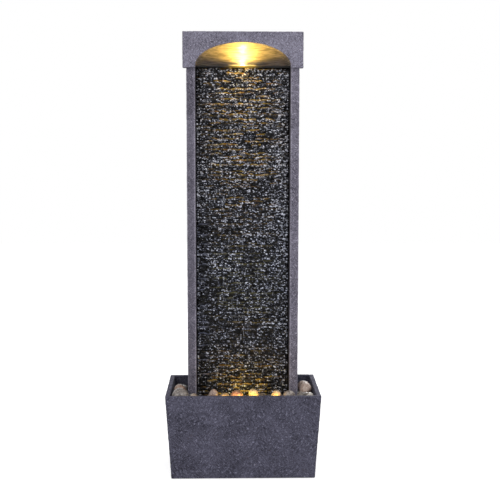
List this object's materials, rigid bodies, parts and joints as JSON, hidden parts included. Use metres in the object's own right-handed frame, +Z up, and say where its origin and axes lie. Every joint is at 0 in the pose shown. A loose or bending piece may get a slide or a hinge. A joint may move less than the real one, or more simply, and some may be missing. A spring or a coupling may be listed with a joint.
{
  "type": "garden fountain",
  "caption": "Tall garden fountain: water falls from a lit arched niche down a ledged slate panel into a tapered pebble basin.",
  "frame": {"origin": "on the ground, under the middle of the basin", "axes": "+Z up, -Y towards the front where the water panel faces, +X to the right seen from the front"},
  "size_m": [0.3998, 0.2398, 1.145],
  "materials": {
    "basin_stone": "cast resin and stone powder, chipped stone effect, dark violet grey",
    "tower_stone": "cast resin and stone powder, chipped stone effect, violet grey",
    "cap_stone": "cast resin and stone powder, chipped stone effect, pale violet grey",
    "slate_panel": "cast resin, wet dark slate ledges",
    "pebble": "river pebbles, grey, brown and tan",
    "black_plastic": "moulded black plastic",
    "trough_plastic": "moulded dark grey plastic",
    "clear_hose": "clear flexible tube",
    "rubber_black": "black rubber",
    "stainless": "stainless steel",
    "lens_clear": "clear domed lens, lit warm white from behind",
    "lamp_board": "white circuit board",
    "light_chip": "warm white light chips",
    "rotor_magnet": "bonded magnet rotor with moulded vanes",
    "ceramic_white": "ceramic shaft and bushes"
  },
  "bodies": {
    "fountain": {"basin": "basin_stone", "feet": "rubber_black", "tower_shell": "tower_stone", "water_panel": "slate_panel", "panel_rails": "black_plastic", "rail_screws": "stainless", "header_cap": "cap_stone", "spill_trough": "trough_plastic", "riser_tube": "clear_hose", "hose_clamps": "stainless", "tube_clips": "black_plastic", "cord_grommet": "rubber_black", "pump_housing": "black_plastic", "volute_plate": "black_plastic", "impeller_shaft": "ceramic_white", "shaft_bushes": "ceramic_white", "suction_feet": "rubber_black", "upper_lamp_body": "black_plastic", "upper_lamp_board": "lamp_board", "upper_lamp_chips": "light_chip", "upper_lamp_seal": "rubber_black", "upper_lamp_lens": "lens_clear"},
    "pebble_tray": {"pebble_tray": "black_plastic", "pebbles": "pebble", "lower_lamp_body": "black_plastic", "lower_lamp_board": "lamp_board", "lower_lamp_chips": "light_chip", "lower_lamp_seal": "rubber_black", "lower_lamp_lens": "lens_clear"},
    "impeller": {"impeller": "rotor_magnet"},
    "intake_cover": {"intake_cover": "black_plastic"},
    "flow_dial": {"flow_dial": "black_plastic"},
    "back_cover": {"back_cover": "tower_stone"},
    "drain_plug": {"drain_plug": "rubber_black"}
  },
  "joints": [
    {"name": "tray_lift", "type": "slide", "parent": "fountain", "child": "pebble_tray", "axis": [0, 0, 1], "range_m": [0, 0.25]},
    {"name": "impeller_spin", "type": "hinge", "parent": "fountain", "child": "impeller", "pos_m": [0, 0.0555, 0.052], "axis": [1, 0, 0], "continuous": true},
    {"name": "intake_cover_pull", "type": "slide", "parent": "fountain", "child": "intake_cover", "axis": [-1, 0, 0], "range_m": [0, 0.03]},
    {"name": "flow_dial_turn", "type": "hinge", "parent": "intake_cover", "child": "flow_dial", "pos_m": [0, 0.0555, 0.052], "axis": [1, 0, 0], "range_deg": [0, 90]},
    {"name": "back_cover_pull", "type": "slide", "parent": "fountain", "child": "back_cover", "axis": [0, 1, 0], "range_m": [0, 0.05]},
    {"name": "drain_plug_pull", "type": "slide", "parent": "fountain", "child": "drain_plug", "axis": [0, 0, 1], "range_m": [0, 0.05]}
  ]
}
